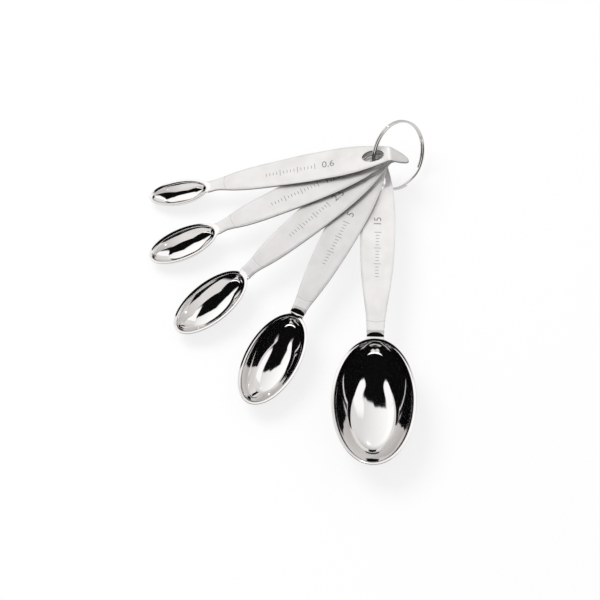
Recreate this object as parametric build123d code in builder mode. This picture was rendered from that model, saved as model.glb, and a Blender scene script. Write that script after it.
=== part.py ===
from build123d import *
from math import asin, cos, radians, sin, tan
import os

os.makedirs("parts", exist_ok=True)

# Stamped steel sheet, shared by the five spoons
sheet = 0.8  # thickness
rim_lip = 1.3  # lip around a bowl
rim_sink = 0.22  # how far the lip falls towards the bowl
rim_edge = 0.2  # level margin at the lip's outer edge
rim_radius = 0.6  # bend from the lip into the bowl
neck_fillet = 1.6  # where the handle's edge runs into the lip
edge_radius = 0.15  # broken edge all round the sheet and in the slot

# Leaf-shaped handle, measured from the middle of its slot
handle_length = 71.4  # slot to bowl lip
handle_width = 14.5  # at its widest
slot_length = 9.4
slot_width = 5.6
bend_distance = 7.0  # slot to the bend of the tip
bend_width = 7.4  # handle's width at that bend
tip_reach = 7.0  # how far the bent tip goes on past the bend, seen from above
shoulder_reach = 5.1  # where the tip starts to round off
shoulder_width = 4.4
tip_angle = 47.0  # degrees the tip is bent down
bend_radius = 2.4
neck_reach = 2.1  # from the lip back to where the handle starts to widen
step_drop = 0.5  # the bowl's lip lies this much under the handle
step_start = 3.4  # the step's two ends, back from the lip
step_end = 0.6

# Handle's outline between neck and bend, as shares of its length and of its width
outline_place_shares = (0.87, 0.64, 0.38, 0.03)
outline_width_shares = (0.55, 0.85, 1.0, 0.80)

# Bowl's form: depth, length and width of each level, as shares of the bowl's own
rim_shares = (0.0, 1.0, 1.0)
waist_shares = (0.46, 0.95, 0.87)
floor_shares = (0.91, 0.80, 0.55)
dish_shares = (0.977, 0.40, 0.275)
rest_shares = (1.0, 0.16, 0.11)
floor_radius_share = 0.22  # bend from the wall into the dished floor, of the depth

# Tablespoon, 15 ml
tablespoon_length = 56.0  # bowl with its lip
tablespoon_width = 34.4
tablespoon_depth = 15.1
tablespoon_neck = 7.2  # handle's width where it meets the lip
tablespoon_handle = 74.1  # slot to bowl lip, longer than on the others
tablespoon_ring_offset = 1.9  # ring's place in the slot: from its middle towards the tip
tablespoon_side_offset = -0.9  # and to the spoon's left

# Teaspoon, 5 ml
teaspoon_length = 43.2
teaspoon_width = 23.0
teaspoon_depth = 10.28
teaspoon_neck = 6.2
teaspoon_fan = 24.7  # degrees turned from the spoon below
teaspoon_roll = 2.5  # degrees its left side is raised
teaspoon_ring_offset = 1.9
teaspoon_side_offset = 0.0

# Half teaspoon, 2.5 ml
half_length = 36.9
half_width = 18.6
half_depth = 7.73
half_neck = 5.8
half_fan = 22.55
half_roll = 3.5
half_ring_offset = 0.8
half_side_offset = -0.3

# Quarter teaspoon, 1.25 ml
quarter_length = 30.8
quarter_width = 15.2
quarter_depth = 5.93
quarter_neck = 5.4
quarter_fan = 18.95
quarter_roll = 4.5
quarter_ring_offset = 0.4
quarter_side_offset = 0.2

# Eighth teaspoon, 0.625 ml
eighth_length = 26.0
eighth_width = 12.4
eighth_depth = 4.56
eighth_neck = 5.4
eighth_fan = 16.8
eighth_roll = 5.0
eighth_ring_offset = 0.4
eighth_side_offset = -0.6

# Split ring: one wire, two turns side by side
wire = 0.8
turn_gap = 0.45  # air between the turns
ring_radius = 14.7  # to the middle of the wire
ring_tilt = 58.9  # degrees between the ring's plane and the table
ring_bearing = -36.1  # degrees from +X to the side that its axis leans to
ring_lift = 2.2  # its lowest turn over the table, hung up in the slots
crank_angle = 40.0  # degrees in which the wire crosses from one turn to the other
crank_middle = 275.0  # degrees round the ring to that crossing, from the side away from the slots

handle_gap = 0.25  # air between two handles where their edges cross
overrun = 1.0  # how far a cutting shape passes what it cuts

upright_share = 0.1  # a face whose normal rises less than this stands upright
edge_samples = 60  # places tried along an edge
halvings = 24  # of the range of pitches tried
steepest = 40.0  # degrees, the steepest pitch tried
ring_steps = 240  # places tried along the ring


# Sizes of one spoon, how it lies, and the heights that follow from them
class Spoon:
    def __init__(self, name, length, width, depth, neck, handle, fan, roll, ring_offset, side_offset):
        self.name = name
        self.length = length
        self.width = width
        self.depth = depth
        self.neck = neck
        self.handle = handle
        self.fan = fan
        self.roll = roll
        self.ring_offset = ring_offset
        self.side_offset = side_offset
        self.centre = handle + length / 2
        self.lip_top = sheet / 2 - step_drop


spoons = [
    Spoon("tablespoon", tablespoon_length, tablespoon_width, tablespoon_depth, tablespoon_neck,
          tablespoon_handle, 0, 0, tablespoon_ring_offset, tablespoon_side_offset),
    Spoon("teaspoon", teaspoon_length, teaspoon_width, teaspoon_depth, teaspoon_neck,
          handle_length, teaspoon_fan, teaspoon_roll, teaspoon_ring_offset, teaspoon_side_offset),
    Spoon("half_teaspoon", half_length, half_width, half_depth, half_neck,
          handle_length, half_fan, half_roll, half_ring_offset, half_side_offset),
    Spoon("quarter_teaspoon", quarter_length, quarter_width, quarter_depth, quarter_neck,
          handle_length, quarter_fan, quarter_roll, quarter_ring_offset, quarter_side_offset),
    Spoon("eighth_teaspoon", eighth_length, eighth_width, eighth_depth, eighth_neck,
          handle_length, eighth_fan, eighth_roll, eighth_ring_offset, eighth_side_offset),
]


# Points along one edge of the handle, from the neck to the tip, seen from above
def edge_points(spoon):
    points = [(spoon.handle - neck_reach, spoon.neck / 2)]
    for place, width in zip(outline_place_shares, outline_width_shares):
        points.append((spoon.handle * place, handle_width / 2 * width))
    points.append((-bend_distance, bend_width / 2))
    points.append((-bend_distance - shoulder_reach, shoulder_width / 2))
    points.append((-bend_distance - tip_reach, 0))
    return points


# Half the handle's width at a distance from its slot, or zero beyond it
def half_width_at(spoon, place):
    points = edge_points(spoon)
    for (far, far_width), (near, near_width) in zip(points, points[1:]):
        if near <= place <= far:
            return near_width + (far_width - near_width) * (place - near) / (far - near)
    return 0


# One oval level of a bowl; wall is the sheet outside the inner surface
def bowl_level(spoon, shares, wall):
    depth_share, length_share, width_share = shares
    sink = rim_sink + (spoon.depth - rim_sink) * depth_share
    if depth_share >= floor_shares[0]:
        sink += wall
    with BuildSketch(Plane((spoon.centre, 0, spoon.lip_top - sink))) as level:
        Ellipse((spoon.length / 2 - rim_lip) * length_share + wall,
                (spoon.width / 2 - rim_lip) * width_share + wall)
    return level.sketch


# The space a bowl holds, or with a wall the outside of that bowl
def bowl_form(spoon, wall):
    with BuildPart() as form:
        loft([bowl_level(spoon, shares, wall) for shares in (rim_shares, waist_shares, floor_shares)])
        loft([bowl_level(spoon, shares, wall) for shares in (floor_shares, dish_shares, rest_shares)])
        floor_height = spoon.lip_top - rim_sink - (spoon.depth - rim_sink) * floor_shares[0] - wall
        floor_edge = form.edges().filter_by_position(
            Axis.Z, floor_height - sheet / 8, floor_height + sheet / 8)
        fillet(floor_edge, radius=spoon.depth * floor_radius_share + wall)
    return form.part


# The shallow space over the lip
def lip_form(spoon):
    with BuildPart() as form:
        for margin, sink in ((rim_edge, 0), (rim_lip, rim_sink)):
            with BuildSketch(Plane((spoon.centre, 0, spoon.lip_top - sink))):
                Ellipse(spoon.length / 2 - margin, spoon.width / 2 - margin)
        loft(ruled=True)
    return form.part


# A spoon in its own frame: slot's middle at the origin, bowl along +X, sheet's middle at zero
def spoon_form(spoon):
    tip_run = tip_reach + overrun
    with BuildPart() as form:
        # Sheet bent at the tip and stepped at the neck, wider than the spoon
        with BuildSketch(Plane.XZ):
            with BuildLine():
                middle = FilletPolyline(
                    (-bend_distance - tip_run, -tip_run * tan(radians(tip_angle))),
                    (-bend_distance, 0),
                    (spoon.handle - step_start, 0),
                    (spoon.handle - step_end, -step_drop),
                    (spoon.handle + spoon.length + overrun, -step_drop),
                    radius=bend_radius,
                )
                offset(middle, amount=sheet / 2, side=Side.BOTH)
            make_face()
        extrude(amount=spoon.width / 2 + overrun, both=True)
        # Outline from above: leaf-shaped handle and oval lip, less the slot
        with BuildSketch(Plane.XY.offset(-spoon.length)) as outline:
            with BuildLine():
                edge = Spline(*edge_points(spoon), tangents=((-1, 0), (0, -1)))
                neck = Line(edge @ 0, (spoon.centre, spoon.neck / 2))
                mirror(about=Plane.XZ)
                Line(neck @ 1, (spoon.centre, -spoon.neck / 2))
            make_face()
            with Locations((spoon.centre, 0)):
                Ellipse(spoon.length / 2, spoon.width / 2)
            corners = outline.vertices().filter_by_position(
                Axis.X, spoon.handle, spoon.centre, inclusive=(False, False))
            fillet(corners, radius=neck_fillet)
            Ellipse(slot_length / 2, slot_width / 2, mode=Mode.SUBTRACT)
        extrude(amount=2 * spoon.length, mode=Mode.INTERSECT)
        # Its edges are broken all round, above and below
        walls = form.faces().filter_by(lambda face: abs(face.normal_at().Z) < upright_share)
        fillet(walls.edges().filter_by(Axis.Z, reverse=True), radius=edge_radius)
        # Drawn bowl
        add(bowl_form(spoon, sheet))
        add(bowl_form(spoon, 0), mode=Mode.SUBTRACT)
        # Lip falls a little towards the bowl and bends into it
        add(lip_form(spoon), mode=Mode.SUBTRACT)
        lip_edges = form.edges().filter_by_position(
            Axis.Z, spoon.lip_top - rim_sink - sheet / 16, spoon.lip_top - rim_sink + sheet / 16)
        fillet(lip_edges.filter_by(lambda edge: edge.is_closed), radius=rim_radius)
    return form.part


# Where the middle of the ring's wire passes a height, on its side in the slots
def ring_point(centre, height):
    rise = asin(min(1, (height - centre.Z) / (ring_radius * sin(radians(ring_tilt)))))
    lean = Vector(cos(radians(ring_bearing)), sin(radians(ring_bearing)), 0)
    level_way = Vector(lean.Y, -lean.X, 0)
    upward_way = Vector(0, 0, 1) * sin(radians(ring_tilt)) - lean * cos(radians(ring_tilt))
    return centre + (level_way * cos(rise) + upward_way * sin(rise)) * ring_radius


# A spoon's plane: X to the bowl at a bearing, sunk by pitch, and left side raised by roll
def spoon_plane(origin, bearing, pitch, roll):
    level_way = Vector(cos(radians(bearing)), sin(radians(bearing)), 0)
    bowl_way = level_way * cos(radians(pitch)) - Vector(0, 0, 1) * sin(radians(pitch))
    level_left = Vector(-level_way.Y, level_way.X, 0)
    normal = bowl_way.cross(level_left)
    normal = normal * cos(radians(roll)) - level_left * sin(radians(roll))
    return Plane(origin=origin, x_dir=bowl_way, z_dir=normal)


# Least air between the upper spoon's left edge and the handle below
def air_between(upper, upper_plane, lower, lower_plane):
    least = upper.handle
    for sample in range(edge_samples):
        place = upper.handle * sample / edge_samples
        corner = upper_plane.from_local_coords(Vector(place, half_width_at(upper, place), -sheet / 2))
        below = lower_plane.to_local_coords(corner)
        if abs(below.Y) <= half_width_at(lower, below.X):
            least = min(least, below.Z - sheet / 2)
    return least


# The plane of a spoon at a pitch: its bowl on the table, its slot round the ring
def resting_plane(spoon, surface, ring_centre, bearing, pitch):
    tilted = spoon_plane(Vector(0, 0, 0), bearing, pitch, spoon.roll)
    upward = Vector(tilted.x_dir.Z, tilted.y_dir.Z, tilted.z_dir.Z)
    height = -min(upward.dot(point) for point in surface)
    passing = ring_point(ring_centre, height)
    slot = passing + tilted.x_dir * spoon.ring_offset - tilted.y_dir * spoon.side_offset
    return spoon_plane(Vector(slot.X, slot.Y, height), bearing, pitch, spoon.roll)


# The tablespoon lies level, with the middle of its bowl's floor at the origin
forms = [spoon_form(spoon) for spoon in spoons]
first = spoons[0]
first_bearing = -90
first_height = first.depth + sheet - first.lip_top
first_plane = spoon_plane(Vector(0, first.centre, first_height), first_bearing, 0, first.roll)
planes = [first_plane]

# The ring hangs leaning in the slots
turn_pitch = wire + turn_gap
ring_height = (ring_lift + ring_radius * sin(radians(ring_tilt)) + wire / 2
               + turn_pitch / 2 * cos(radians(ring_tilt)))
passing = first_plane.from_local_coords(Vector(-first.ring_offset, first.side_offset, 0))
reach = ring_point(Vector(0, 0, ring_height), first_height)
ring_centre = Vector(passing.X - reach.X, passing.Y - reach.Y, ring_height)

# Each further spoon is pitched until its handle clears the one below
bearing = first_bearing
for lower, spoon, form in zip(spoons, spoons[1:], forms[1:]):
    bearing -= spoon.fan
    surface = form.tessellate(sheet / 4)[0]
    low, high = 0, steepest
    for _ in range(halvings):
        pitch = (low + high) / 2
        plane = resting_plane(spoon, surface, ring_centre, bearing, pitch)
        if air_between(spoon, plane, lower, planes[-1]) < handle_gap:
            low = pitch
        else:
            high = pitch
    planes.append(plane)
    print(spoon.name, "pitch", round(pitch, 2), "slot", [round(value, 2) for value in plane.origin])

# Spoons
for spoon, form, plane in zip(spoons, forms, planes):
    with BuildPart(plane) as piece:
        add(form)
    piece.part.label = spoon.name
    export_step(piece.part, f"parts/{spoon.name}.step")
    space = bowl_form(spoon, 0).volume + lip_form(spoon).volume
    print(spoon.name, "holds", round(space / 1000, 3), "ml")

# Split ring: two turns joined by a crank, one unbroken wire
lean = Vector(cos(radians(ring_bearing)), sin(radians(ring_bearing)), 0)
ring_normal = lean * sin(radians(ring_tilt)) + Vector(0, 0, 1) * cos(radians(ring_tilt))
ring_plane = Plane(origin=ring_centre, x_dir=Vector(-lean.Y, lean.X, 0), z_dir=ring_normal)
half_turn = (360 - crank_angle) / 2
first_angle = crank_middle + crank_angle / 2
with BuildPart() as split_ring:
    with BuildLine(ring_plane) as wire_line:
        arcs = []
        for side in (-1, 1):
            for start in (first_angle, first_angle + half_turn):
                arcs.append(CenterArc((0, 0, side * turn_pitch / 2), ring_radius, start, half_turn))
        Spline(arcs[1] @ 1, arcs[2] @ 0, tangents=(arcs[1] % 1, arcs[2] % 0))
    path = wire_line.wires()[0]
    with BuildSketch(Plane(origin=path @ 0, z_dir=path % 0)):
        Circle(wire / 2)
    sweep(path=path)
split_ring.part.label = "split_ring"
export_step(split_ring.part, "parts/split_ring.step")

# Least air between the ring's two turns, on points along the wire
points = [path @ (step / ring_steps) for step in range(ring_steps + 1)]
apart = round(ring_steps * crank_angle / 720)
least = min((points[i] - points[j]).length for i in range(len(points))
            for j in range(i + apart, len(points)))
print("least air between the ring's turns", round(least - wire, 2))
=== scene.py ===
import bpy, bmesh
from math import cos, hypot, pi, radians, sin
from mathutils import Matrix, Vector


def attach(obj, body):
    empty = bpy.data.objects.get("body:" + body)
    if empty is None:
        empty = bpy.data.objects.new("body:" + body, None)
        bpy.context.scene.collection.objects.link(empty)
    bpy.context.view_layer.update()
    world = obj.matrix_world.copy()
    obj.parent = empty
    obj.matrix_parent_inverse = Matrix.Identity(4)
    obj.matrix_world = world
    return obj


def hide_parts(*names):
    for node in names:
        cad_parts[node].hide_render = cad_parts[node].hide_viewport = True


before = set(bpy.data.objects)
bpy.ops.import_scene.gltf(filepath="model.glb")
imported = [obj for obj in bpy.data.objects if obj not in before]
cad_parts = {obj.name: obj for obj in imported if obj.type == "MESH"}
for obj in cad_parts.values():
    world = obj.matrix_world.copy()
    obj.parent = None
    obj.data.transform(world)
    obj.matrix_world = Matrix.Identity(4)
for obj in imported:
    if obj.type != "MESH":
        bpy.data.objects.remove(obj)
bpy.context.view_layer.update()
scene = bpy.context.scene
millimetre = 0.001
unbounded = 1000  # mm; a texture scale so long that this direction hardly counts
print("frame loaded:", ", ".join(sorted(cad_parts)))


def hexColour(text):
    # sRGB hex to the linear values that a shader socket takes
    channels = [int(text[i:i + 2], 16) / 255 for i in (1, 3, 5)]
    return (*[c / 12.92 if c <= 0.04045 else ((c + 0.055) / 1.055) ** 2.4 for c in channels], 1.0)


def addNode(tree, kind, settings=None, inputs=None):
    # one node with its settings; an input takes a socket or a plain value
    node = tree.nodes.new(kind)
    for name, value in (settings or {}).items():
        setattr(node, name, value)
    for key, value in (inputs or {}).items():
        if isinstance(value, bpy.types.NodeSocket):
            tree.links.new(value, node.inputs[key])
        else:
            node.inputs[key].default_value = value
    return node


def maths(tree, operation, *values):
    node = addNode(tree, "ShaderNodeMath", {"operation": operation}, dict(enumerate(values)))
    return node.outputs[0]


def ranged(tree, value, first, last, low=0.0, high=1.0, kind="LINEAR"):
    # low to high while the value goes from first to last, and level outside
    return addNode(tree, "ShaderNodeMapRange", {"interpolation_type": kind}, {
        "Value": value, "From Min": first, "From Max": last,
        "To Min": low, "To Max": high}).outputs[0]


def smooth(tree, value, first, last, low=0.0, high=1.0):
    return ranged(tree, value, first, last, low, high, "SMOOTHSTEP")


def mixed(tree, share, first, second):
    # two colours, each a socket or hex
    first, second = (hexColour(c) if isinstance(c, str) else c for c in (first, second))
    return addNode(tree, "ShaderNodeMix", {"data_type": "RGBA"}, {
        0: share, 6: first, 7: second}).outputs[2]


def noise(tree, vector, scale, detail, roughness=0.5):
    return addNode(tree, "ShaderNodeTexNoise", None, {
        "Vector": vector, "Scale": scale, "Detail": detail, "Roughness": roughness}).outputs["Fac"]


def placed(tree, vector, location, scale, rotation=(0, 0, 0)):
    # the vector as seen from a place with its own scale and turn
    return addNode(tree, "ShaderNodeMapping", {"vector_type": "TEXTURE"}, {
        "Vector": vector, "Location": location, "Rotation": rotation, "Scale": scale}).outputs[0]


def lengthOf(tree, vector):
    return addNode(tree, "ShaderNodeVectorMath", {"operation": "LENGTH"}, {
        0: vector}).outputs["Value"]


def bumped(tree, height, strength, distance):
    return addNode(tree, "ShaderNodeBump", None, {
        "Strength": strength, "Distance": distance, "Height": height}).outputs[0]


def newMaterial(name):
    material = bpy.data.materials.new(name)
    material.use_nodes = True
    material.node_tree.nodes.clear()
    return material, material.node_tree


def metalSurface(tree, colour, roughness, normal=None):
    inputs = {"Base Color": colour, "Metallic": 1.0, "Roughness": roughness}
    if normal is not None:
        inputs["Normal"] = normal
    shader = addNode(tree, "ShaderNodeBsdfPrincipled", None, inputs)
    addNode(tree, "ShaderNodeOutputMaterial", None, {"Surface": shader.outputs[0]})


def localMillimetres(tree, place):
    # texture coordinates, and the same in millimetres along the piece's own directions
    coordinates = addNode(tree, "ShaderNodeTexCoord").outputs
    return coordinates, placed(
        tree, coordinates["Object"], place.translation, (millimetre,) * 3, place.to_euler())


# Camera at the photograph's angle; places in metres in the part's own frame
cameraSetup = {
    "place": (-0.0160, -0.36842, 0.79524),
    "target": (-0.03151, 0.05271, 0.0),
    "lens": 129.15, "sensor": 36,  # mm
    "near": 0.01, "far": 20,
}

cameraData = bpy.data.cameras.new("camera")
cameraData.lens, cameraData.sensor_width = cameraSetup["lens"], cameraSetup["sensor"]
cameraData.clip_start, cameraData.clip_end = cameraSetup["near"], cameraSetup["far"]
camera = bpy.data.objects.new("camera", cameraData)
scene.collection.objects.link(camera)
camera.location = cameraSetup["place"]
aim = Vector(cameraSetup["target"]) - Vector(cameraSetup["place"])
camera.rotation_euler = aim.to_track_quat("-Z", "Y").to_euler()
scene.camera = camera
print("camera set")

# How each spoon lies: slot's middle, way to its bowl, pitch and roll in degrees; sizes in mm.
# "buffed" is how far the bowl's polish reaches back from the lip over the neck.
spoons = {
    "tablespoon": {
        "slot": (0.0, 102.1, 16.0), "bearing": -90.0, "pitch": 0.0, "roll": 0.0,
        "handle": 74.1, "length": 56.0, "width": 34.4, "depth": 15.1,
        "neck": 7.2, "buffed": 2.5, "number": "15"},
    "teaspoon": {
        "slot": (-2.726, 103.607, 18.683), "bearing": -114.7, "pitch": 4.366, "roll": 2.5,
        "handle": 71.4, "length": 43.2, "width": 23.0, "depth": 10.52,
        "neck": 6.2, "buffed": 2.5, "number": "5"},
    "half_teaspoon": {
        "slot": (-2.8, 105.923, 20.655), "bearing": -137.25, "pitch": 7.041, "roll": 3.5,
        "handle": 71.4, "length": 36.9, "width": 18.6, "depth": 8.27,
        "neck": 5.8, "buffed": 0.3, "number": "2.5"},
    "quarter_teaspoon": {
        "slot": (-3.05, 108.168, 22.339), "bearing": -156.2, "pitch": 9.415, "roll": 4.5,
        "handle": 71.4, "length": 30.8, "width": 15.2, "depth": 6.56,
        "neck": 5.4, "buffed": 0.0, "number": "1.25"},
    "eighth_teaspoon": {
        "slot": (-2.859, 109.355, 24.044), "bearing": -173.0, "pitch": 11.698, "roll": 5.0,
        "handle": 71.4, "length": 26.0, "width": 12.4, "depth": 5.22,
        "neck": 5.4, "buffed": 0.0, "number": "0.6"},
}
handleShape = {
    "halfWidth": 7.25,  # mm at the widest
    "places": (0.87, 0.64, 0.38, 0.03),  # shares of the handle's length, from the slot
    "widths": (0.55, 0.85, 1.0, 0.80),
    "tip": 14.0,  # mm from the slot to the tip's end
    "tipPoints": ((-12.1, 2.2), (-7.0, 3.7)),  # mm along and half across
    "neckPlace": 2.1,  # mm from the lip back to the narrowest place
    "face": 0.4,  # mm from the middle of the sheet to its face
}


def spoonPlace(spoon):
    # X runs to the bowl, Z stands up out of the handle
    bearing, pitch, roll = (radians(spoon[key]) for key in ("bearing", "pitch", "roll"))
    level = Vector((cos(bearing), sin(bearing), 0))
    left = Vector((-level.y, level.x, 0))
    bowlWay = level * cos(pitch) - Vector((0, 0, 1)) * sin(pitch)
    upWay = bowlWay.cross(left)
    upWay = upWay * cos(roll) - left * sin(roll)
    place = Matrix((bowlWay, upWay.cross(bowlWay), upWay)).transposed().to_4x4()
    place.translation = Vector(spoon["slot"]) * millimetre
    return place


# 18/8 stainless sheet: the bowl is buffed to a mirror, the handle brushed to a satin
steelFinish = {
    "face": "#EEECEB", "polished": "#E0DEDD",
    "smudge": "#E4E2E0",  # faint handling marks
    "smudgeScale": 0.09, "smudgeRange": (0.42, 0.72),
    "satinRoughness": 0.55, "satinSpread": 0.12,
    "mirrorRoughness": 0.05, "mirrorSpread": 0.03,
    "polishMargin": 0.8,  # mm that the buffing runs out past the lip
    "polishBlend": 0.015,  # share of the bowl over which it fades
    "neckRadius": 5.9,  # mm, the round end that it has on the neck
    "grain": 0.45,  # mm between brush lines; real ones are finer, drawn as coarse as they show
    "grainStretch": 0.05,
    "grainDepth": 0.004,
    "ripple": 9.0,  # mm between the soft waves that drawing leaves in the bowl
    "rippleDepth": 0.006,
    "edgeRoll": 1.1,  # mm over which the handle's edge is eased
    "edgeDrop": 0.10,
    # painted shade: the face's colour is darkened to this share at the handle's outline, fading out
    # over edgeRoll
    "paintedEdgeShade": 0.90,
    "paintedUprightShade": 0.42,  # painted shade on the upright edge where the sheet was cut: its colour as a share of the face's
    "paintedUprightRise": (0.15, 0.75),  # from there to there the surface counts less and less as upright edge, and its painted shade fades out
    "grooveReach": 6.9,  # mm from the lip back to the curved press line
    "grooveRadius": 8.0,
    "grooveWidth": 0.28,
    "grooveDepth": 0.03,
    # painted shade: the colour in the press line is darkened to this share
    "paintedGrooveShade": 0.80,
}


def polishShare(tree, spoon, finish, local):
    # 1 on the buffed bowl and lip, 0 on the handle
    halfLength, halfWidth = spoon["length"] / 2, spoon["width"] / 2
    margin, radius, fade = finish["polishMargin"], finish["neckRadius"], finish["polishBlend"]
    bowl = placed(tree, local, (spoon["handle"] + halfLength, 0, 0),
                  (halfLength + margin, halfWidth + margin, unbounded))
    neck = placed(tree, local, (spoon["handle"] - spoon["buffed"] + radius, 0, 0),
                  (radius, radius, unbounded))
    nearest = maths(tree, "MINIMUM", lengthOf(tree, bowl), lengthOf(tree, neck))
    return smooth(tree, nearest, 1 - fade, 1 + fade, 1.0, 0.0)


def handleInset(tree, spoon, along, across):
    # mm in from the handle's edge, with its outline kept as a curve
    handle, half, tip = spoon["handle"], handleShape["halfWidth"], handleShape["tip"]
    neck = spoon["neck"] / 2 / half
    outline = addNode(tree, "ShaderNodeFloatCurve", None, {
        "Value": ranged(tree, along, -tip, handle)})
    curve = outline.mapping.curves[0]
    curve.points[0].location = (0.0, 0.0)
    curve.points[1].location = (1.0, neck)
    points = [(x, y / half) for x, y in handleShape["tipPoints"]]
    shares = zip(handleShape["places"][::-1], handleShape["widths"][::-1])
    points += [(handle * x, y) for x, y in shares]
    points.append((handle - handleShape["neckPlace"], neck))
    for x, y in points:
        curve.points.new((x + tip) / (handle + tip), y)
    outline.mapping.update()
    side = maths(tree, "MULTIPLY", maths(tree, "ABSOLUTE", across), -1.0)
    return maths(tree, "MULTIPLY_ADD", outline.outputs[0], half, side)


def pressLine(tree, spoon, finish, local, along):
    # 1 on the curved line that the press leaves before the neck
    radius = finish["grooveRadius"]
    centre = spoon["handle"] - finish["grooveReach"] - radius
    reach = lengthOf(tree, placed(tree, local, (centre, 0, 0), (1, 1, unbounded)))
    offLine = maths(tree, "ABSOLUTE", maths(tree, "SUBTRACT", reach, radius))
    line = smooth(tree, offLine, 0.0, finish["grooveWidth"], 1.0, 0.0)
    return maths(tree, "MULTIPLY", line, maths(tree, "GREATER_THAN", along, centre + radius / 2))


def spoonSteel(name, spoon, finish):
    material, tree = newMaterial(name)
    place = spoonPlace(spoon)
    coordinates, local = localMillimetres(tree, place)
    axes = addNode(tree, "ShaderNodeSeparateXYZ", None, {0: local}).outputs
    polish = polishShare(tree, spoon, finish, local)
    inset = handleInset(tree, spoon, axes["X"], axes["Y"])
    panel = smooth(tree, inset, 0.0, finish["edgeRoll"])
    groove = pressLine(tree, spoon, finish, local, axes["X"])
    # brush lines run along the handle
    grainPlace = addNode(tree, "ShaderNodeMapping", {"vector_type": "POINT"}, {
        "Vector": local,
        "Scale": (finish["grainStretch"], 1 / finish["grain"], 1 / finish["grain"])}).outputs[0]
    grain = noise(tree, grainPlace, scale=1.0, detail=3.0, roughness=0.6)
    waves = noise(tree, local, 1 / finish["ripple"], detail=1.0)
    smudges = noise(tree, local, finish["smudgeScale"], detail=4.0, roughness=0.55)
    # colour: plain steel, faint smudges, and painted shade that darkens the eased edge and the
    # press line
    smudgeShare = ranged(tree, smudges, *finish["smudgeRange"])
    colour = mixed(tree, smudgeShare, finish["face"], finish["smudge"])
    colour = mixed(tree, polish, colour, finish["polished"])
    # painted shade, darkest at the handle's outline
    paintedEdgeShade = ranged(tree, panel, 0.0, 1.0, finish["paintedEdgeShade"], 1.0)
    # painted shade: where the surface stands upright, as on the cut edge, its colour is darkened,
    # standing in for the dark that it reflects
    rise = addNode(tree, "ShaderNodeVectorMath", {"operation": "DOT_PRODUCT"}, {
        0: coordinates["Normal"], 1: place.col[2].to_3d()}).outputs["Value"]
    rise = maths(tree, "ABSOLUTE", rise)
    paintedUpright = smooth(tree, rise, *finish["paintedUprightRise"], finish["paintedUprightShade"], 1.0)
    paintedEdgeShade = maths(tree, "MAXIMUM", maths(tree, "MULTIPLY", paintedEdgeShade, paintedUpright), polish)
    # painted shade in the press line
    paintedGrooveShade = ranged(tree, groove, 0.0, 1.0, 1.0, finish["paintedGrooveShade"])
    shade = maths(tree, "MULTIPLY", paintedEdgeShade, paintedGrooveShade)
    colour = addNode(tree, "ShaderNodeVectorMath", {"operation": "SCALE"}, {
        0: colour, 3: shade}).outputs[0]
    # roughness: satin to mirror across the buffing's edge
    satin = maths(tree, "MULTIPLY_ADD", grain, finish["satinSpread"],
                  finish["satinRoughness"] - finish["satinSpread"] / 2)
    mirror = maths(tree, "MULTIPLY_ADD", smudges, finish["mirrorSpread"],
                   finish["mirrorRoughness"] - finish["mirrorSpread"] / 2)
    roughness = addNode(tree, "ShaderNodeMix", {"data_type": "FLOAT"}, {
        0: polish, 2: satin, 3: mirror}).outputs[0]
    # relief in millimetres
    grainDepth = ranged(tree, polish, 0.0, 1.0, finish["grainDepth"], 0.0)
    relief = maths(tree, "MULTIPLY", grain, grainDepth)
    relief = maths(tree, "MULTIPLY_ADD", waves, finish["rippleDepth"], relief)
    eased = maths(tree, "MAXIMUM", panel, polish)
    relief = maths(tree, "MULTIPLY_ADD", eased, finish["edgeDrop"], relief)
    relief = maths(tree, "MULTIPLY_ADD", groove, -finish["grooveDepth"], relief)
    bump = bumped(tree, relief, strength=1.0, distance=millimetre)
    metalSurface(tree, colour, roughness, bump)
    return material


# Bowl as the press draws it: a sloping wall, a tight bend and a shallow dish, in mm and shares
bowlShape = {
    "sheet": 0.8, "lipTop": -0.1,  # mm; the lip lies half a millimetre under the handle's face
    "edge": 0.2, "lip": 1.3, "sink": 0.22,  # level edge, lip to the hollow, and its fall
    "lipBend": 0.5,  # mm from the corner to where the bend starts
    "waist": (0.46, 0.88, 0.87),  # share of the depth, length and width
    "floor": (0.91, 0.57, 0.55),
    "floorBend": 0.16,  # as lipBend, as a share of the depth
    "segments": 192,
    "steps": {"lip": 4, "lipBend": 8, "wall": 26, "floorBend": 18, "dish": 20},
    "denseSteps": 100,  # of the lines that those steps are taken from
    "weld": 2e-7,  # m
    "pick": 1.0008, "pickHeight": 0.004,  # share and mm by which the CAD's bowl is found
    "normalWeight": 100,
}


def alongCurve(points, steps, first, last):
    # points of a dense line between two of its own distances, evenly spaced
    reach = [0.0]
    for before, after in zip(points, points[1:]):
        reach.append(reach[-1] + (after - before).length)
    found, place = [], 0
    for step in range(steps + 1):
        want = first + (reach[-1] - last - first) * step / steps
        while place < len(points) - 2 and reach[place + 1] < want:
            place += 1
        share = (want - reach[place]) / (reach[place + 1] - reach[place])
        found.append(points[place].lerp(points[place + 1], share))
    return found


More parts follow.
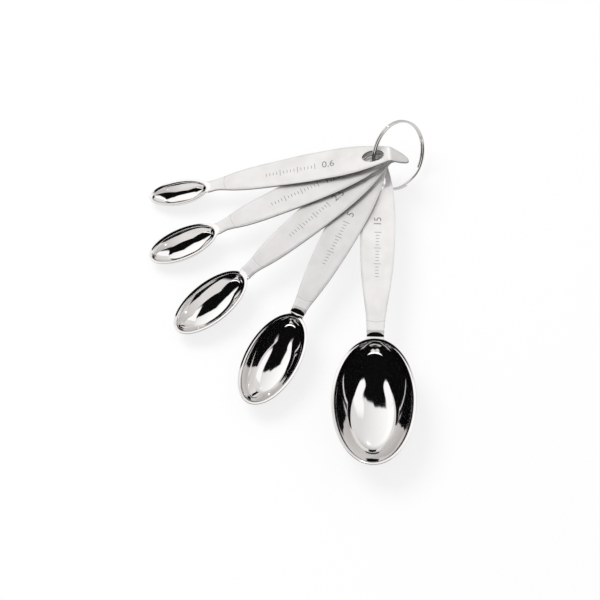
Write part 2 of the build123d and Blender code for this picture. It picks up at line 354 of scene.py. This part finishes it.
def bowlProfile(half, depth, waist, floor, shape):
    # distance out and height, from the lip's level edge to the middle of the dish
    hollow, drop = half - shape["lip"], depth - shape["sink"]
    top, steps, dense = Vector((hollow, -shape["sink"])), shape["steps"], shape["denseSteps"]
    (waistDeep, waistOut), (floorDeep, floorOut) = waist, floor
    wall, dish = [], []
    for count in range(dense + 1):
        # the wall is a parabola through the lip, the waist and the floor's edge
        deep = floorDeep * count / dense
        out = ((deep - waistDeep) * (deep - floorDeep) / (waistDeep * floorDeep)
               + waistOut * deep * (deep - floorDeep) / (waistDeep * (waistDeep - floorDeep))
               + floorOut * deep * (deep - waistDeep) / (floorDeep * (floorDeep - waistDeep)))
        wall.append(Vector((hollow * out, top.y - drop * deep)))
        out = 1 - count / dense
        deep = 1 - (1 - floorDeep) * out * out
        dish.append(Vector((hollow * floorOut * out, top.y - drop * deep)))
    lip = [Vector((half - shape["edge"], 0.0)), top]
    bend = shape["floorBend"] * depth
    profile = alongCurve(lip, steps["lip"], 0.0, shape["lipBend"])
    wallRun = alongCurve(wall, steps["wall"], shape["lipBend"], bend)
    dishRun = alongCurve(dish, steps["dish"], bend, 0.0)
    for run, corner, count in ((wallRun, top, steps["lipBend"]),
                               (dishRun, wall[-1], steps["floorBend"])):
        start = profile[-1]
        for step in range(1, count):
            t = step / count
            profile.append(start * (1 - t) ** 2 + corner * 2 * t * (1 - t) + run[0] * t * t)
        profile += run
    return profile


def thickened(profile, sheet):
    # the same line on the other face of the sheet
    moved = []
    for place, point in enumerate(profile):
        before, after = profile[max(place - 1, 0)], profile[min(place + 1, len(profile) - 1)]
        way = (after - before).normalized()
        moved.append(point + Vector((-way.y, way.x)) * sheet)
    return moved


def openedBowl(shell, spoon, shape):
    # takes the CAD's bowl out of the sheet; the edges left open, on the upper and the lower face
    halfLength, halfWidth = spoon["length"] / 2, spoon["width"] / 2
    centre, under = spoon["handle"] + halfLength, shape["lipTop"] - shape["sheet"]
    bowl = {vert for vert in shell.verts if vert.co.x > spoon["handle"] and hypot(
        (vert.co.x - centre) / (halfLength - shape["edge"]),
        vert.co.y / (halfWidth - shape["edge"])) < shape["pick"]}
    gone = [face for face in shell.faces if bowl.issuperset(face.verts)
            and not all(abs(vert.co.z - under) < shape["pickHeight"] for vert in face.verts)]
    bmesh.ops.delete(shell, geom=gone, context="FACES")
    middle = under + shape["sheet"] / 2
    openEdges = [edge for edge in shell.edges if edge.is_boundary]
    return ([edge for edge in openEdges if edge.verts[0].co.z > middle],
            [edge for edge in openEdges if edge.verts[0].co.z < middle])


def bowlSkin(shell, farLine, nearLine, centre, shape):
    # oval rings down to one middle point; gives the edges of the highest ring
    segments, rings = shape["segments"], []
    for far, near in zip(farLine[:-1], nearLine[:-1]):
        ring = []
        for count in range(segments):
            angle = 2 * pi * count / segments
            height = far.y * cos(angle) ** 2 + near.y * sin(angle) ** 2
            ring.append(shell.verts.new((
                centre + far.x * cos(angle), near.x * sin(angle), shape["lipTop"] + height)))
        rings.append(ring + ring[:1])
    middle = shell.verts.new((centre, 0, shape["lipTop"] + farLine[-1].y))
    for upper, lower in zip(rings, rings[1:]):
        for count in range(segments):
            shell.faces.new((upper[count], upper[count + 1], lower[count + 1], lower[count]))
    for count in range(segments):
        shell.faces.new((rings[-1][count], rings[-1][count + 1], middle))
    return [shell.edges.get((rings[0][count], rings[0][count + 1])) for count in range(segments)]


def drawnSpoon(name, spoon, shape):
    # handle and edge as in the CAD, with the bowl drawn afresh inside it
    place = spoonPlace(spoon) @ Matrix.Scale(millimetre, 4)
    shell = bmesh.new()
    shell.from_mesh(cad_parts[name].data)
    bmesh.ops.remove_doubles(shell, verts=shell.verts, dist=shape["weld"])
    shell.transform(place.inverted())
    halfLength, halfWidth = spoon["length"] / 2, spoon["width"] / 2
    edgeAbove, edgeBelow = openedBowl(shell, spoon, shape)
    for side, edges in (("inner", edgeAbove), ("outer", edgeBelow)):
        lines = []
        for half, pick in ((halfLength, 1), (halfWidth, 2)):
            line = bowlProfile(half, spoon["depth"], (shape["waist"][0], shape["waist"][pick]),
                               (shape["floor"][0], shape["floor"][pick]), shape)
            if side == "outer":
                line = thickened(line, shape["sheet"])[shape["steps"]["lip"]:]
            lines.append(line[1:])
        ringEdges = bowlSkin(shell, *lines, spoon["handle"] + halfLength, shape)
        bmesh.ops.bridge_loops(shell, edges=edges + ringEdges)
    bmesh.ops.recalc_face_normals(shell, faces=shell.faces)
    print(name, "open edges left:", sum(not edge.is_manifold for edge in shell.edges),
          "lowest mm:", round(min((place @ vert.co).z for vert in shell.verts) / millimetre, 3))
    shell.transform(place)
    mesh = bpy.data.meshes.new("drawn_" + name)
    shell.to_mesh(mesh)
    shell.free()
    mesh.shade_smooth()
    piece = bpy.data.objects.new("drawn_" + name, mesh)
    scene.collection.objects.link(piece)
    weighted = piece.modifiers.new("normals", "WEIGHTED_NORMAL")
    weighted.weight = shape["normalWeight"]
    piece.data = bpy.data.meshes.new_from_object(
        piece.evaluated_get(bpy.context.evaluated_depsgraph_get()))
    piece.modifiers.remove(weighted)
    return piece


for name, spoon in spoons.items():
    piece = drawnSpoon(name, spoon, bowlShape)
    piece.data.materials.clear()
    piece.data.materials.append(spoonSteel("brushedStainless_" + name, spoon, steelFinish))
    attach(piece, name)
    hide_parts(name)
print("spoons finished: satin handles, mirror bowls")

# Split ring of flattened spring wire, nickel plated: two turns joined by a crank
ringShape = {
    "centre": (7.993, 115.694, 15.51),  # mm
    "bearing": -36.1, "tilt": 58.9,  # degrees, as its axis leans
    "radius": 14.6,  # mm to the middle of the wire
    "wireWidth": 0.90, "wireThickness": 1.0, "corner": 0.4,
    "turnPitch": 1.03,  # mm from turn to turn, so they nearly touch
    "start": 295.0, "sweep": 680.0,  # degrees round the axis
    "crankStart": 320.0, "crank": 40.0,  # degrees from the wire's end
    "steps": 480, "cornerSteps": 5,
}
ringFinish = {
    "colour": "#CFCDCA", "tarnish": "#8F8B85",
    "roughness": 0.11, "roughnessSpread": 0.12, "roughnessDrop": 0.05,
    "wearScale": 0.35, "wearRange": (0.55, 0.85), "wearMost": 0.7,
    "drawLine": 0.12,  # mm between the fine lines that drawing the wire leaves
    "drawDepth": 0.003, "drawStrength": 0.6,
}


def ringPlace():
    # Z runs along the ring's leaning axis
    bearing, tilt = radians(ringShape["bearing"]), radians(ringShape["tilt"])
    lean = Vector((cos(bearing), sin(bearing), 0))
    axis = lean * sin(tilt) + Vector((0, 0, 1)) * cos(tilt)
    level = Vector((-lean.y, lean.x, 0))
    place = Matrix((level, axis.cross(level), axis)).transposed().to_4x4()
    place.translation = Vector(ringShape["centre"]) * millimetre
    return place


def ringSteel(finish):
    # bright nickel over drawn wire: hard highlights with faint lines along it and a little wear
    material, tree = newMaterial("nickelPlatedWire")
    local = localMillimetres(tree, ringPlace())[1]
    height = addNode(tree, "ShaderNodeSeparateXYZ", None, {0: local}).outputs["Z"]
    level = addNode(tree, "ShaderNodeVectorMath", {"operation": "MULTIPLY"}, {
        0: local, 1: (1, 1, 0)}).outputs[0]
    # lines keep their distance from the axis and their height, so they run round the ring
    across = addNode(tree, "ShaderNodeCombineXYZ", None, {
        0: lengthOf(tree, level), 1: height, 2: 0.0}).outputs[0]
    lines = noise(tree, across, 1 / finish["drawLine"], detail=2.0)
    wear = noise(tree, local, finish["wearScale"], detail=5.0, roughness=0.6)
    wearShare = ranged(tree, wear, *finish["wearRange"], 0.0, finish["wearMost"])
    colour = mixed(tree, wearShare, finish["colour"], finish["tarnish"])
    roughness = maths(tree, "MULTIPLY_ADD", wear, finish["roughnessSpread"],
                      finish["roughness"] - finish["roughnessDrop"])
    bump = bumped(tree, lines, finish["drawStrength"], finish["drawDepth"] * millimetre)
    metalSurface(tree, colour, roughness, bump)
    return material


def nodeGroup(name, sizes):
    # a geometry node tree with one named input for each size
    tree = bpy.data.node_groups.new(name, "GeometryNodeTree")
    for key, value in sizes.items():
        kind = "NodeSocketInt" if isinstance(value, int) else "NodeSocketFloat"
        tree.interface.new_socket(key, in_out="INPUT", socket_type=kind)
    tree.interface.new_socket("Geometry", in_out="OUTPUT", socket_type="NodeSocketGeometry")
    return tree, addNode(tree, "NodeGroupInput"), addNode(tree, "NodeGroupOutput")


def treeSizes(shape, lengths, plain):
    # what a tree takes from a piece's values, its lengths in metres
    return {key: shape[key] * millimetre for key in lengths} | {key: shape[key] for key in plain}


def meshFromNodes(name, tree, sizes, place):
    # runs the tree once and keeps its result as a plain mesh in its place
    carrier = bpy.data.objects.new(name, bpy.data.meshes.new(name))
    scene.collection.objects.link(carrier)
    modifier = carrier.modifiers.new("shape", "NODES")
    modifier.node_group = tree
    for item in tree.interface.items_tree:
        if item.in_out == "INPUT":
            modifier[item.identifier] = sizes[item.name]
    evaluated = carrier.evaluated_get(bpy.context.evaluated_depsgraph_get())
    mesh = bpy.data.meshes.new_from_object(evaluated)
    carrier.modifiers.remove(modifier)
    mesh.transform(place)
    mesh.name = name
    carrier.data = mesh
    return carrier


def wireTree(sizes, material):
    tree, given, result = nodeGroup("woundRing", sizes)
    get = given.outputs
    line = addNode(tree, "GeometryNodeCurvePrimitiveLine", None, {"End": (1, 0, 0)}).outputs[0]
    line = addNode(tree, "GeometryNodeResampleCurve", None, {
        "Curve": line, "Count": get["steps"]}).outputs[0]
    share = addNode(tree, "GeometryNodeSplineParameter").outputs["Factor"]
    turned = maths(tree, "MULTIPLY", share, get["sweep"])
    angle = maths(tree, "RADIANS", maths(tree, "ADD", turned, get["start"]))
    # each turn keeps its own height, and the crank crosses from the lower to the upper
    half = maths(tree, "MULTIPLY", get["turnPitch"], 0.5)
    low = maths(tree, "MULTIPLY", half, -1.0)
    crankEnd = maths(tree, "ADD", get["crankStart"], get["crank"])
    height = smooth(tree, turned, get["crankStart"], crankEnd, low, half)
    circle = [maths(tree, "MULTIPLY", maths(tree, operation, angle), get["radius"])
              for operation in ("COSINE", "SINE")]
    position = addNode(tree, "ShaderNodeCombineXYZ", None, {
        0: circle[0], 1: circle[1], 2: height}).outputs[0]
    path = addNode(tree, "GeometryNodeSetPosition", None, {
        "Geometry": line, "Position": position}).outputs[0]
    path = addNode(tree, "GeometryNodeSetCurveNormal", {"mode": "Z_UP"}, {
        "Curve": path}).outputs[0]
    section = addNode(tree, "GeometryNodeCurvePrimitiveQuadrilateral", None, {
        "Width": get["wireThickness"], "Height": get["wireWidth"]}).outputs[0]
    section = addNode(tree, "GeometryNodeFilletCurve", {"mode": "POLY"}, {
        "Curve": section, "Radius": get["corner"], "Count": get["cornerSteps"]}).outputs[0]
    wire = addNode(tree, "GeometryNodeCurveToMesh", None, {
        "Curve": path, "Profile Curve": section, "Fill Caps": True}).outputs[0]
    wire = addNode(tree, "GeometryNodeSetShadeSmooth", None, {"Geometry": wire}).outputs[0]
    wire = addNode(tree, "GeometryNodeRealizeInstances", None, {"Geometry": wire}).outputs[0]
    wire = addNode(tree, "GeometryNodeSetMaterial", None, {
        "Geometry": wire, "Material": material}).outputs[0]
    tree.links.new(wire, result.inputs[0])
    return tree


ringSizes = treeSizes(
    ringShape, ("radius", "wireWidth", "wireThickness", "corner", "turnPitch"),
    ("start", "sweep", "crankStart", "crank", "steps", "cornerSteps"))
ringTree = wireTree(ringSizes, ringSteel(ringFinish))
woundRing = meshFromNodes("wound_split_ring", ringTree, ringSizes, ringPlace())
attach(woundRing, "split_ring")
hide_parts("split_ring")
print("split ring wound:", len(woundRing.data.polygons), "faces")

# Marks on the handles: a plain number in millilitres and a row of ticks, laser etched
markShape = {
    "numberStart": 22.0,  # mm from the slot; it reads towards the slot
    "numberHeight": 3.1, "capitalShare": 0.7,  # mm, and what share of the type size that is
    "tickStart": 25.0, "tickStep": 1.5, "tickCount": 15,
    "tickWidth": 0.22, "shortTick": 1.5, "longTick": 2.9, "longEvery": 5,
    "thickness": 0.02,
}
markFinish = {
    "colour": "#A9A6A3", "deep": "#8A8784",
    "roughness": 0.62, "roughnessSpread": 0.2,
    "speckle": 0.18,  # mm
}


def etchedSteel(finish):
    # laser-etched steel: a dry grey oxide that scatters light
    material, tree = newMaterial("laserEtchedSteel")
    coordinates = addNode(tree, "ShaderNodeTexCoord").outputs
    speckle = noise(tree, coordinates["Object"], 1 / (finish["speckle"] * millimetre), detail=2.0)
    colour = mixed(tree, speckle, finish["colour"], finish["deep"])
    roughness = maths(tree, "MULTIPLY_ADD", speckle, finish["roughnessSpread"],
                      finish["roughness"] - finish["roughnessSpread"] / 2)
    metalSurface(tree, colour, roughness)
    return material


def tickTree(sizes, material):
    tree, given, result = nodeGroup("tickRow", sizes)
    get = given.outputs
    step = addNode(tree, "ShaderNodeCombineXYZ", None, {0: get["tickStep"]}).outputs[0]
    row = addNode(tree, "GeometryNodeMeshLine", {"mode": "OFFSET"}, {
        "Count": get["tickCount"], "Offset": step}).outputs[0]
    index = addNode(tree, "GeometryNodeInputIndex").outputs[0]
    isLong = maths(tree, "LESS_THAN", maths(tree, "MODULO", index, get["longEvery"]), 0.5)
    length = addNode(tree, "ShaderNodeMix", {"data_type": "FLOAT"}, {
        0: isLong, 2: get["shortTick"], 3: get["longTick"]}).outputs[0]
    size = addNode(tree, "ShaderNodeCombineXYZ", None, {
        0: get["tickWidth"], 1: length, 2: get["thickness"]}).outputs[0]
    bar = addNode(tree, "GeometryNodeMeshCube", None, {"Size": (1, 1, 1)}).outputs[0]
    ticks = addNode(tree, "GeometryNodeInstanceOnPoints", None, {
        "Points": row, "Instance": bar, "Scale": size}).outputs[0]
    ticks = addNode(tree, "GeometryNodeRealizeInstances", None, {"Geometry": ticks}).outputs[0]
    ticks = addNode(tree, "GeometryNodeSetMaterial", None, {
        "Geometry": ticks, "Material": material}).outputs[0]
    tree.links.new(ticks, result.inputs[0])
    return tree


def numberMesh(name, text, place):
    curve = bpy.data.curves.new(name, "FONT")
    curve.body = text
    curve.size = markShape["numberHeight"] * millimetre / markShape["capitalShare"]
    curve.extrude = markShape["thickness"] * millimetre / 2
    curve.align_y = "CENTER"
    writing = bpy.data.objects.new(name, curve)
    scene.collection.objects.link(writing)
    mesh = bpy.data.meshes.new_from_object(
        writing.evaluated_get(bpy.context.evaluated_depsgraph_get()))
    bpy.data.objects.remove(writing)
    mesh.transform(place)
    number = bpy.data.objects.new(name, mesh)
    scene.collection.objects.link(number)
    return number


tickSizes = treeSizes(
    markShape, ("tickStep", "tickWidth", "shortTick", "longTick", "thickness"),
    ("tickCount", "longEvery"))
markMaterial = etchedSteel(markFinish)
ticks = tickTree(tickSizes, markMaterial)
# each mark is sunk a quarter of its thickness into the face
onFace = (handleShape["face"] + markShape["thickness"] / 4) * millimetre
turned = Matrix.Rotation(pi, 4, "Z")
for name, spoon in spoons.items():
    place = spoonPlace(spoon)
    at = place @ Matrix.Translation((markShape["numberStart"] * millimetre, 0, onFace)) @ turned
    number = numberMesh(name + "_number", spoon["number"], at)
    number.data.materials.clear()
    number.data.materials.append(markMaterial)
    at = place @ Matrix.Translation((markShape["tickStart"] * millimetre, 0, onFace))
    tickRow = meshFromNodes(name + "_ticks", ticks, tickSizes, at)
    for piece in (number, tickRow):
        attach(piece, name)
print("handles marked")

# Floor: matt white paper, pale enough to read as white and still take a soft shadow
floorFinish = {
    "colour": "#F6F6F6", "glow": 0.72,
    "fibre": 0.9, "fibreDepth": 0.01, "fibreStrength": 0.1,  # mm
    "size": 6.0,  # m
}


def floorPaper(finish):
    material, tree = newMaterial("mattPaper")
    coordinates = addNode(tree, "ShaderNodeTexCoord").outputs
    fibre = noise(tree, coordinates["Object"], 1 / (finish["fibre"] * millimetre), detail=2.0)
    bump = bumped(tree, fibre, finish["fibreStrength"], finish["fibreDepth"] * millimetre)
    diffuse = addNode(tree, "ShaderNodeBsdfDiffuse", None, {
        "Color": hexColour(finish["colour"]), "Normal": bump}).outputs[0]
    glow = addNode(tree, "ShaderNodeEmission", None, {
        "Color": (1, 1, 1, 1), "Strength": 1.0}).outputs[0]
    rays = addNode(tree, "ShaderNodeLightPath").outputs
    seen = maths(tree, "MAXIMUM", rays["Is Camera Ray"], rays["Is Glossy Ray"])
    seen = maths(tree, "MAXIMUM", seen, rays["Is Transmission Ray"])
    share = maths(tree, "MULTIPLY", seen, finish["glow"])
    surface = addNode(tree, "ShaderNodeMixShader", None, {0: share, 1: diffuse, 2: glow}).outputs[0]
    addNode(tree, "ShaderNodeOutputMaterial", None, {"Surface": surface})
    return material


floorHalf = floorFinish["size"] / 2
corners = ((-1, -1), (1, -1), (1, 1), (-1, 1))
floorMesh = bpy.data.meshes.new("floor")
floorMesh.from_pydata([(x * floorHalf, y * floorHalf, 0) for x, y in corners], [], [(0, 1, 2, 3)])
floor = bpy.data.objects.new("floor", floorMesh)
scene.collection.objects.link(floor)
floorMesh.materials.append(floorPaper(floorFinish))

# Studio as the mirror bowls see it: a white sheet ahead, pale screens to the right and left,
# black cloth overhead and a pale line behind the camera. Angles in degrees, up from the far
# horizon and over; places to the side as shares, where 1 is level and square to the camera.
studio = {
    "frontTop": 71.5,  # the white sheet's top edge
    "frontSlope": 10.0, "frontRagged": 5.0,  # how far that edge leans and wanders
    "raggedScale": 7.0, "raggedDetail": 3.0,
    "edgeSoftness": 0.8,
    "frontRise": (5.0, 45.0), "frontLow": 0.55, "frontHigh": 1.07,  # it gets brighter upwards
    "frontSides": (-0.45, 0.3), "frontLeft": 1.28, "frontRight": 0.88,  # and is lit from the left
    "rightFrom": 0.23, "leftFrom": 0.31, "sideSoftness": 0.03,  # the screens' inner edges
    "sideLean": 0.42,  # how far those edges have moved out at the back
    "sideTop": 0.93, "sideTopSoftness": 0.02,
    "sideBack": 122.0, "sideBackSoftness": 9.0,
    "sideStart": (22.0, 4.0),  # degrees before the sheet's top edge, over which they set in
    "sideLevel": 1.3,
    "backLine": 171.0, "backWidth": 5.0, "backSoftness": 0.5, "backLevel": 2.2,
    "cloth": 0.004,
    "fill": 0.75,  # plain light on the floor
    "warm": "#FBF8F0", "white": "#FFFFFF", "warmRange": (5.0, 35.0),
}


def sideScreens(tree, setup, axes, over):
    lean = ranged(tree, over, setup["frontTop"], setup["sideBack"], 0.0, setup["sideLean"])
    soft, sides = setup["sideSoftness"], []
    for sign, start in ((1, setup["rightFrom"]), (-1, setup["leftFrom"])):
        out = maths(tree, "SUBTRACT", maths(tree, "MULTIPLY", axes["X"], sign), lean)
        sides.append(smooth(tree, out, start - soft, start + soft))
    side = maths(tree, "ADD", *sides)
    top, topSoft = setup["sideTop"], setup["sideTopSoftness"]
    back, backSoft = setup["sideBack"], setup["sideBackSoftness"]
    first, last = (setup["frontTop"] - before for before in setup["sideStart"])
    for limit in (smooth(tree, axes["Z"], top - topSoft, top + topSoft, setup["sideLevel"], 0.0),
                  smooth(tree, over, back - backSoft, back + backSoft, 1.0, 0.0),
                  smooth(tree, over, first, last)):
        side = maths(tree, "MULTIPLY", side, limit)
    return side


def studioWorld(setup):
    world = bpy.data.worlds.new("studio")
    scene.world = world
    world.use_nodes = True
    tree = world.node_tree
    tree.nodes.clear()
    way = addNode(tree, "ShaderNodeTexCoord").outputs["Generated"]
    axes = addNode(tree, "ShaderNodeSeparateXYZ", None, {0: way}).outputs
    over = maths(tree, "DEGREES", maths(tree, "ARCTAN2", axes["Z"], axes["Y"]))
    ragged = addNode(tree, "ShaderNodeTexNoise", {"noise_dimensions": "1D"}, {
        "W": axes["X"], "Scale": setup["raggedScale"],
        "Detail": setup["raggedDetail"]}).outputs["Fac"]
    edge = maths(tree, "MULTIPLY_ADD", axes["X"], setup["frontSlope"],
                 setup["frontTop"] - setup["frontRagged"] / 2)
    edge = maths(tree, "MULTIPLY_ADD", ragged, setup["frontRagged"], edge)
    below = maths(tree, "SUBTRACT", edge, over)
    front = smooth(tree, below, -setup["edgeSoftness"], setup["edgeSoftness"])
    rise = smooth(tree, over, *setup["frontRise"], setup["frontLow"], setup["frontHigh"])
    slant = ranged(tree, axes["X"], *setup["frontSides"], setup["frontLeft"], setup["frontRight"])
    front = maths(tree, "MULTIPLY", maths(tree, "MULTIPLY", front, rise), slant)
    offBack = maths(tree, "ABSOLUTE", maths(tree, "SUBTRACT", over, setup["backLine"]))
    half, soft = setup["backWidth"] / 2, setup["backSoftness"]
    back = smooth(tree, offBack, half - soft, half + soft, setup["backLevel"], 0.0)
    level = sideScreens(tree, setup, axes, over)
    for other in (front, back, setup["cloth"]):
        level = maths(tree, "MAXIMUM", level, other)
    tint = mixed(tree, ranged(tree, over, *setup["warmRange"]), setup["warm"], setup["white"])
    reflected, plain, white = (
        addNode(tree, "ShaderNodeBackground", None, {"Color": colour, "Strength": power}).outputs[0]
        for colour, power in ((tint, level), ((1, 1, 1, 1), setup["fill"]), ((1, 1, 1, 1), 1.0)))
    rays = addNode(tree, "ShaderNodeLightPath").outputs
    lit = addNode(tree, "ShaderNodeMixShader", None, {
        0: rays["Is Glossy Ray"], 1: plain, 2: reflected}).outputs[0]
    shown = addNode(tree, "ShaderNodeMixShader", None, {
        0: rays["Is Camera Ray"], 1: lit, 2: white}).outputs[0]
    addNode(tree, "ShaderNodeOutputWorld", None, {"Surface": shown})


studioWorld(studio)

# A broad lamp gives the floor its soft shadow, a small one the handles' sheen and a spark in
# each bowl
lamps = {
    "softLamp": {"place": (-0.5, 0.35, 0.9), "size": 0.6, "power": 5.0, "glossy": False},
    "sparkLamp": {"place": (0.13, 0.75, 0.80), "size": 0.014, "power": 1.0, "glossy": True},
}
lampAim = Vector((-0.03, 0.05, 0.0))

for name, setup in lamps.items():
    lampData = bpy.data.lights.new(name, "AREA")
    lampData.shape, lampData.size, lampData.energy = "DISK", setup["size"], setup["power"]
    lamp = bpy.data.objects.new(name, lampData)
    scene.collection.objects.link(lamp)
    lamp.location = setup["place"]
    lamp.rotation_euler = (lampAim - Vector(setup["place"])).to_track_quat("-Z", "Y").to_euler()
    lamp.visible_glossy = setup["glossy"]
    lamp.visible_diffuse = not setup["glossy"]

scene.view_settings.view_transform = "Standard"
print("floor, studio and lamps set")

bpy.context.view_layer.update()
